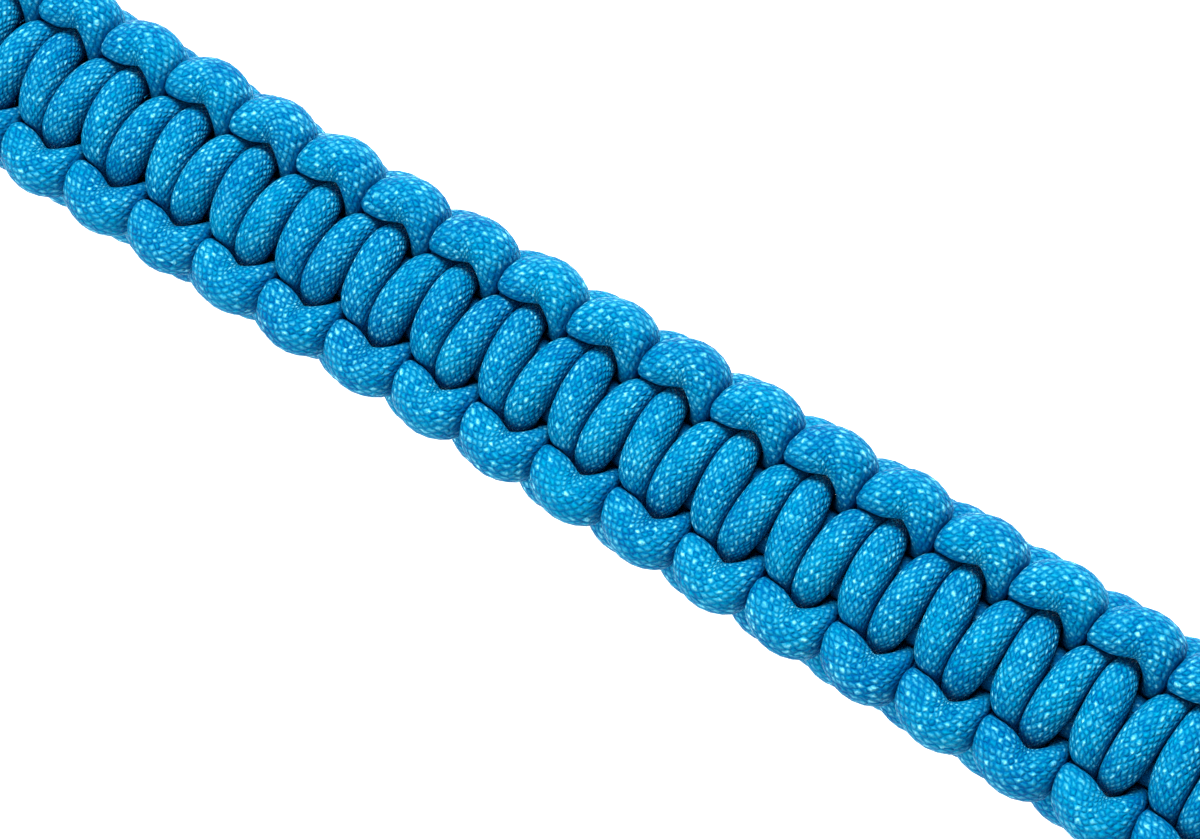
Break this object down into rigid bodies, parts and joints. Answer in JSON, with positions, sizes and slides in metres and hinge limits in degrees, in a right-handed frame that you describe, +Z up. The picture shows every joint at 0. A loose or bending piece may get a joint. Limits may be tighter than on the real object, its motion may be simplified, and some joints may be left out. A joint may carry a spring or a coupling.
{
  "type": "paracord bracelet",
  "caption": "Closed bracelet of woven cord, knotted flat round core cords and joined by a plain clasp, lying pressed long.",
  "frame": {"origin": "on the surface that the bracelet lies on, under the middle of the bracelet", "axes": "+X along the band, +Y across the band, +Z up, out of the show face of the top run"},
  "size_m": [0.1405, 0.0168, 0.0249],
  "materials": {
    "cord": "braided nylon with a soft sheen",
    "core": "braided nylon with a soft sheen",
    "clasp": "fine satin grain"
  },
  "bodies": {
    "root": {"bar_cord": "cord", "edge_cord": "cord", "core_cord_left": "core", "core_cord_right": "core", "buckle": "clasp"}
  },
  "joints": []
}
